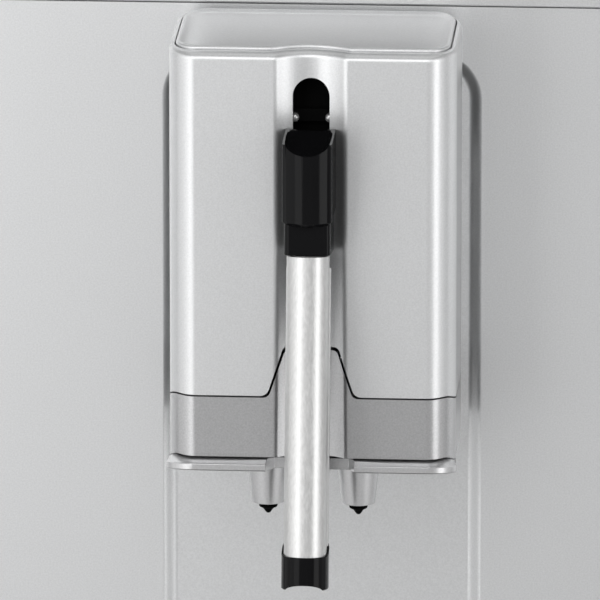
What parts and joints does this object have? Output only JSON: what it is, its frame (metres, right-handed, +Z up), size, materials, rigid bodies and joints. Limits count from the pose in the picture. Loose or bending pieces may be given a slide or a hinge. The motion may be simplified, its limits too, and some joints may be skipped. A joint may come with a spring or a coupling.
{
  "type": "bean to cup coffee machine",
  "caption": "Free-standing bean to cup coffee machine with a height adjustable outlet head, milk frother wand, drip tray, bean hopper, grinder, brew unit and lift-out water tank.",
  "frame": {"origin": "on the table, under the middle of the machine's overall box", "axes": "+Z up, -Y the front with the outlet head, +X the right hand side seen from the front"},
  "size_m": [0.28, 0.45, 0.3847],
  "materials": {
    "silver_lacquer": "silver metallic lacquer, satin",
    "dark_silver": "darker silver metallic lacquer, satin",
    "gloss_black": "gloss",
    "black_housing": "fine matt grain",
    "grey_plastic": "matt",
    "white_plastic": "satin",
    "smoked_plastic": "smoked, gloss",
    "display_black": "high gloss",
    "circuit_board": "solder mask",
    "ceramic": "matt ceramic",
    "float_red": "satin",
    "steel": "brushed",
    "aluminium": "satin",
    "foot_rubber": "matt"
  },
  "bodies": {
    "housing": {"base_frame": "black_housing", "foot_front_left": "foot_rubber", "foot_front_right": "foot_rubber", "foot_rear_left": "foot_rubber", "foot_rear_right": "foot_rubber", "front_panel": "silver_lacquer", "guide_rail": "steel", "control_fascia": "silver_lacquer", "display_lens": "display_black", "left_cover": "silver_lacquer", "right_cover": "silver_lacquer", "rear_cover": "black_housing", "cord_gland": "black_housing", "top_cover": "dark_silver", "bean_container": "smoked_plastic", "inner_chassis": "grey_plastic", "power_board": "circuit_board", "grinder_housing": "black_housing", "upper_burr": "ceramic", "grinder_motor": "aluminium", "brew_frame": "black_housing", "brew_chamber": "white_plastic", "brew_motor": "aluminium", "water_pump": "aluminium", "water_heater": "aluminium", "steam_hose": "white_plastic", "coffee_hose": "white_plastic"},
    "outlet_head": {"outlet_cover": "silver_lacquer", "outlet_lid": "silver_lacquer", "keyhole_pins": "grey_plastic", "outlet_carriage": "dark_silver", "outlet_lip": "dark_silver", "coffee_splitter": "black_housing", "nozzle_left": "dark_silver", "nozzle_tip_left": "black_housing", "nozzle_right": "dark_silver", "nozzle_tip_right": "black_housing", "outlet_slider": "grey_plastic"},
    "frother": {"frother_handle": "gloss_black", "frother_sleeve": "steel", "steam_tube": "steel", "frother_cap": "gloss_black"},
    "power_button": {"button_power": "dark_silver"},
    "steam_button": {"button_steam": "dark_silver"},
    "strength_button": {"button_strength": "dark_silver"},
    "knob": {"selector_knob": "aluminium"},
    "rocker": {"mains_switch": "gloss_black"},
    "door": {"service_door": "silver_lacquer"},
    "bean_cover": {"bean_lid": "gloss_black"},
    "dial": {"grind_dial": "gloss_black"},
    "burr": {"lower_burr": "ceramic"},
    "spindle": {"brew_spindle": "steel"},
    "piston": {"brew_piston": "white_plastic"},
    "tank": {"water_tank": "smoked_plastic"},
    "tank_cover": {"tank_lid": "gloss_black"},
    "drawer": {"drip_tray": "black_housing", "rear_carrier": "black_housing", "grounds_container": "grey_plastic"},
    "grid": {"drip_grid": "steel"},
    "float": {"tray_float": "float_red"}
  },
  "joints": [
    {"name": "outlet_height", "type": "slide", "parent": "housing", "child": "outlet_head", "axis": [0, 0, 1], "range_m": [-0.075, 0]},
    {"name": "frother_height", "type": "slide", "parent": "outlet_head", "child": "frother", "axis": [0, 0, 1], "range_m": [0, 0.012]},
    {"name": "power_press", "type": "slide", "parent": "housing", "child": "power_button", "axis": [0, 1, 0], "range_m": [0, 0.0016], "stiffness_N_per_m": 400},
    {"name": "steam_press", "type": "slide", "parent": "housing", "child": "steam_button", "axis": [0, 1, 0], "range_m": [0, 0.0016], "stiffness_N_per_m": 400},
    {"name": "strength_press", "type": "slide", "parent": "housing", "child": "strength_button", "axis": [0, 1, 0], "range_m": [0, 0.0016], "stiffness_N_per_m": 400},
    {"name": "selector_turn", "type": "hinge", "parent": "housing", "child": "knob", "pos_m": [0.092, -0.1, 0.3589], "axis": [0, -1, 0], "continuous": true},
    {"name": "mains_rock", "type": "hinge", "parent": "housing", "child": "rocker", "pos_m": [-0.06, 0.2195, 0.086], "axis": [1, 0, 0], "range_deg": [0, 16]},
    {"name": "door_swing", "type": "hinge", "parent": "housing", "child": "door", "pos_m": [0.1387, 0.0564, 0.198], "axis": [0, 0, 1], "range_deg": [0, 100]},
    {"name": "bean_lid_hinge", "type": "hinge", "parent": "housing", "child": "bean_cover", "pos_m": [-0.08, 0.053, 0.3825], "axis": [-1, 0, 0], "range_deg": [0, 95]},
    {"name": "grind_turn", "type": "hinge", "parent": "housing", "child": "dial", "pos_m": [0.01, -0.02, 0.38], "axis": [0, 0, 1], "range_deg": [-60, 60]},
    {"name": "burr_spin", "type": "hinge", "parent": "housing", "child": "burr", "pos_m": [-0.08, 0, 0.24], "axis": [0, 0, 1], "continuous": true},
    {"name": "spindle_turn", "type": "hinge", "parent": "housing", "child": "spindle", "pos_m": [0.058, 0.04, 0.2], "axis": [0, 0, 1], "range_deg": [0, 3770]},
    {"name": "piston_slide", "type": "slide", "parent": "housing", "child": "piston", "axis": [0, 0, 1], "range_m": [-0.042, 0]},
    {"name": "tank_lift", "type": "slide", "parent": "housing", "child": "tank", "axis": [0, 0, 1], "range_m": [0, 0.22]},
    {"name": "tank_lid_hinge", "type": "hinge", "parent": "tank", "child": "tank_cover", "pos_m": [0.097, 0.2137, 0.3797], "axis": [-1, 0, 0], "range_deg": [0, 95]},
    {"name": "drawer_slide", "type": "slide", "parent": "housing", "child": "drawer", "axis": [0, -1, 0], "range_m": [0, 0.165]},
    {"name": "grid_lift", "type": "slide", "parent": "drawer", "child": "grid", "axis": [0, 0, 1], "range_m": [0, 0.03]},
    {"name": "float_rise", "type": "slide", "parent": "drawer", "child": "float", "axis": [0, 0, 1], "range_m": [0, 0.008]}
  ],
  "couplings": [
    {"joint": "piston_slide", "follows": "spindle_turn", "m_per_rad": -0.00063662}
  ]
}
